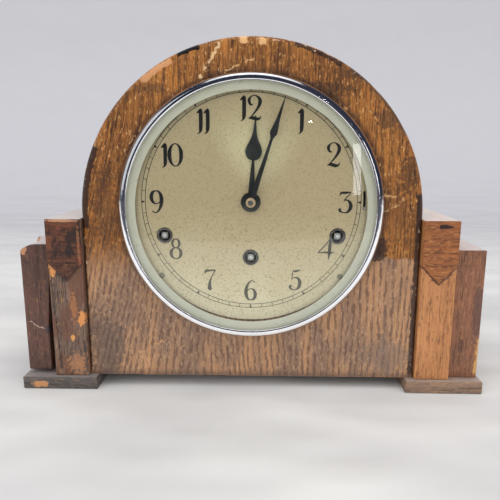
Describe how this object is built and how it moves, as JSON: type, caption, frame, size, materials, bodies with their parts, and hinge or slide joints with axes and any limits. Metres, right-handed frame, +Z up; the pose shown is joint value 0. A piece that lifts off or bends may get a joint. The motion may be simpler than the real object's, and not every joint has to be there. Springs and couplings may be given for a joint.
{
  "type": "mantel clock",
  "caption": "Spring-driven chiming mantel clock in an arched oak case with stepped side wings, chromed hinged bezel, silvered dial, pendulum movement, rod gong and back door.",
  "frame": {"origin": "centre of the bounding box at the level that the feet stand on", "axes": "+X to the viewer's right across the front, -Y out of the dial, +Z up"},
  "size_m": [0.326, 0.1546, 0.2402],
  "materials": {
    "case_oak": "worn satin varnish",
    "wing_oak": "dark stained varnish",
    "bezel_chrome": "polished",
    "clock_glass": "clear, domed",
    "slip_cream": "satin",
    "dial_silver": "brushed, silvered",
    "hand_steel": "blued",
    "bright_steel": "ground",
    "movement_brass": "brushed",
    "block_iron": "dark paint"
  },
  "bodies": {
    "case": {"front_panel": "case_oak", "case_shell": "case_oak", "base_board": "case_oak", "back_frame": "case_oak", "left_pilaster": "wing_oak", "right_pilaster": "wing_oak", "left_tongue": "wing_oak", "right_tongue": "wing_oak", "left_end_block": "wing_oak", "right_end_block": "wing_oak", "left_foot": "wing_oak", "right_foot": "wing_oak", "bezel_hinge_plate": "bezel_chrome", "dial_plate": "dial_silver", "dial_screws": "bright_steel", "winding_grommets": "bright_steel", "movement_front_plate": "movement_brass", "movement_back_plate": "movement_brass", "plate_pillars": "movement_brass", "mounting_spacers": "movement_brass", "movement_nuts_and_screws": "bright_steel", "winding_clicks": "bright_steel", "back_cock": "movement_brass", "hammer_frame": "movement_brass", "gong_block": "block_iron", "chime_rods": "bright_steel", "door_hinge_plates": "movement_brass"},
    "bezel": {"bezel_rim": "bezel_chrome", "bezel_glass": "clock_glass", "bezel_slip": "slip_cream", "bezel_hinge_leaf": "bezel_chrome"},
    "lever": {"chime_silent_lever": "bright_steel"},
    "minute": {"minute_hand": "hand_steel", "hand_nut": "movement_brass", "cannon_pinion": "bright_steel"},
    "minute_work": {"minute_wheel": "movement_brass"},
    "hour": {"hour_hand": "hand_steel", "hour_wheel": "movement_brass"},
    "going_barrel_body": {"going_barrel": "movement_brass"},
    "centre": {"centre_wheel": "bright_steel"},
    "third": {"third_wheel": "bright_steel"},
    "escape": {"escape_wheel": "bright_steel"},
    "going_winder": {"going_winding_arbor": "bright_steel"},
    "strike_winder": {"strike_winding_arbor": "bright_steel"},
    "chime_winder": {"chime_winding_arbor": "bright_steel"},
    "strike_barrel_body": {"strike_barrel": "movement_brass"},
    "strike_second": {"strike_pin_wheel": "movement_brass"},
    "chime_barrel_body": {"chime_barrel": "movement_brass"},
    "chime_second": {"chime_pin_drum": "movement_brass"},
    "pendulum": {"pendulum_rod": "bright_steel", "pendulum_bob": "movement_brass", "rating_nut": "movement_brass"},
    "anchor": {"pallet_anchor": "bright_steel"},
    "door": {"back_door": "case_oak", "door_hinge_leaves": "movement_brass", "door_knob": "movement_brass"},
    "hammer_1": {"chime_hammer_1": "movement_brass"},
    "hammer_2": {"chime_hammer_2": "movement_brass"},
    "hammer_3": {"chime_hammer_3": "movement_brass"},
    "hammer_4": {"chime_hammer_4": "movement_brass"}
  },
  "joints": [
    {"name": "bezel_hinge", "type": "hinge", "parent": "case", "child": "bezel", "pos_m": [0.0875, -0.0649, 0.1289], "axis": [0, 0, 1], "range_deg": [0, 100]},
    {"name": "door_hinge", "type": "hinge", "parent": "case", "child": "door", "pos_m": [0.0684, 0.0669, 0.078], "axis": [0, 0, -1], "range_deg": [0, 115]},
    {"name": "lever_swing", "type": "hinge", "parent": "case", "child": "lever", "pos_m": [0, -0.0592, 0.1342], "axis": [0, 1, 0], "range_deg": [-7.5, 0]},
    {"name": "third_spin", "type": "hinge", "parent": "case", "child": "third", "pos_m": [-0.017, -0.0277, 0.1509], "axis": [0, 1, 0], "continuous": true},
    {"name": "centre_spin", "type": "hinge", "parent": "case", "child": "centre", "pos_m": [0, -0.0277, 0.1342], "axis": [0, 1, 0], "continuous": true},
    {"name": "going_barrel_spin", "type": "hinge", "parent": "case", "child": "going_barrel_body", "pos_m": [0, -0.0277, 0.0962], "axis": [0, 1, 0], "continuous": true},
    {"name": "escape_spin", "type": "hinge", "parent": "case", "child": "escape", "pos_m": [0, -0.0277, 0.1598], "axis": [0, 1, 0], "continuous": true},
    {"name": "minute_hand_spin", "type": "hinge", "parent": "case", "child": "minute", "pos_m": [0, -0.0677, 0.1342], "axis": [0, 1, 0], "continuous": true},
    {"name": "minute_wheel_spin", "type": "hinge", "parent": "case", "child": "minute_work", "pos_m": [0.01039, -0.0477, 0.1402], "axis": [0, 1, 0], "continuous": true},
    {"name": "hour_hand_spin", "type": "hinge", "parent": "case", "child": "hour", "pos_m": [0, -0.0647, 0.1342], "axis": [0, 1, 0], "continuous": true},
    {"name": "going_winding", "type": "hinge", "parent": "case", "child": "going_winder", "pos_m": [0, -0.0527, 0.0962], "axis": [0, 1, 0], "range_deg": [0, 2520]},
    {"name": "strike_winding", "type": "hinge", "parent": "case", "child": "strike_winder", "pos_m": [-0.0588, -0.0527, 0.1112], "axis": [0, 1, 0], "range_deg": [0, 2520]},
    {"name": "chime_winding", "type": "hinge", "parent": "case", "child": "chime_winder", "pos_m": [0.0588, -0.0527, 0.1112], "axis": [0, 1, 0], "range_deg": [0, 2520]},
    {"name": "strike_barrel_spin", "type": "hinge", "parent": "case", "child": "strike_barrel_body", "pos_m": [-0.0588, -0.0277, 0.1112], "axis": [0, 1, 0], "continuous": true},
    {"name": "strike_pin_wheel_spin", "type": "hinge", "parent": "case", "child": "strike_second", "pos_m": [-0.056, -0.0277, 0.0802], "axis": [0, 1, 0], "continuous": true},
    {"name": "chime_barrel_spin", "type": "hinge", "parent": "case", "child": "chime_barrel_body", "pos_m": [0.0588, -0.0277, 0.1112], "axis": [0, 1, 0], "continuous": true},
    {"name": "chime_drum_spin", "type": "hinge", "parent": "case", "child": "chime_second", "pos_m": [0.056, -0.0277, 0.0802], "axis": [0, 1, 0], "continuous": true},
    {"name": "pendulum_swing", "type": "hinge", "parent": "case", "child": "pendulum", "pos_m": [0, 0.0033, 0.1738], "axis": [0, 1, 0], "range_deg": [-3, 3]},
    {"name": "anchor_rock", "type": "hinge", "parent": "case", "child": "anchor", "pos_m": [0, -0.0217, 0.1738], "axis": [0, 1, 0], "range_deg": [-3, 3]},
    {"name": "hammer_1_lift", "type": "hinge", "parent": "case", "child": "hammer_1", "pos_m": [0.04, 0.0158, 0.0642], "axis": [0, 1, 0], "range_deg": [0, 12]},
    {"name": "hammer_2_lift", "type": "hinge", "parent": "case", "child": "hammer_2", "pos_m": [0.04, 0.0248, 0.0642], "axis": [0, 1, 0], "range_deg": [0, 12]},
    {"name": "hammer_3_lift", "type": "hinge", "parent": "case", "child": "hammer_3", "pos_m": [0.04, 0.0338, 0.0642], "axis": [0, 1, 0], "range_deg": [0, 12]},
    {"name": "hammer_4_lift", "type": "hinge", "parent": "case", "child": "hammer_4", "pos_m": [0.04, 0.0428, 0.0642], "axis": [0, 1, 0], "range_deg": [0, 12]}
  ],
  "couplings": [
    {"joint": "third_spin", "follows": "centre_spin", "ratio": -6},
    {"joint": "going_barrel_spin", "follows": "centre_spin", "ratio": -0.16667},
    {"joint": "escape_spin", "follows": "centre_spin", "ratio": 36},
    {"joint": "minute_hand_spin", "follows": "centre_spin", "ratio": 1},
    {"joint": "minute_wheel_spin", "follows": "centre_spin", "ratio": -0.33333},
    {"joint": "hour_hand_spin", "follows": "centre_spin", "ratio": 0.083333},
    {"joint": "strike_pin_wheel_spin", "follows": "strike_barrel_spin", "ratio": -6},
    {"joint": "chime_drum_spin", "follows": "chime_barrel_spin", "ratio": -6},
    {"joint": "anchor_rock", "follows": "pendulum_swing", "ratio": 1}
  ]
}
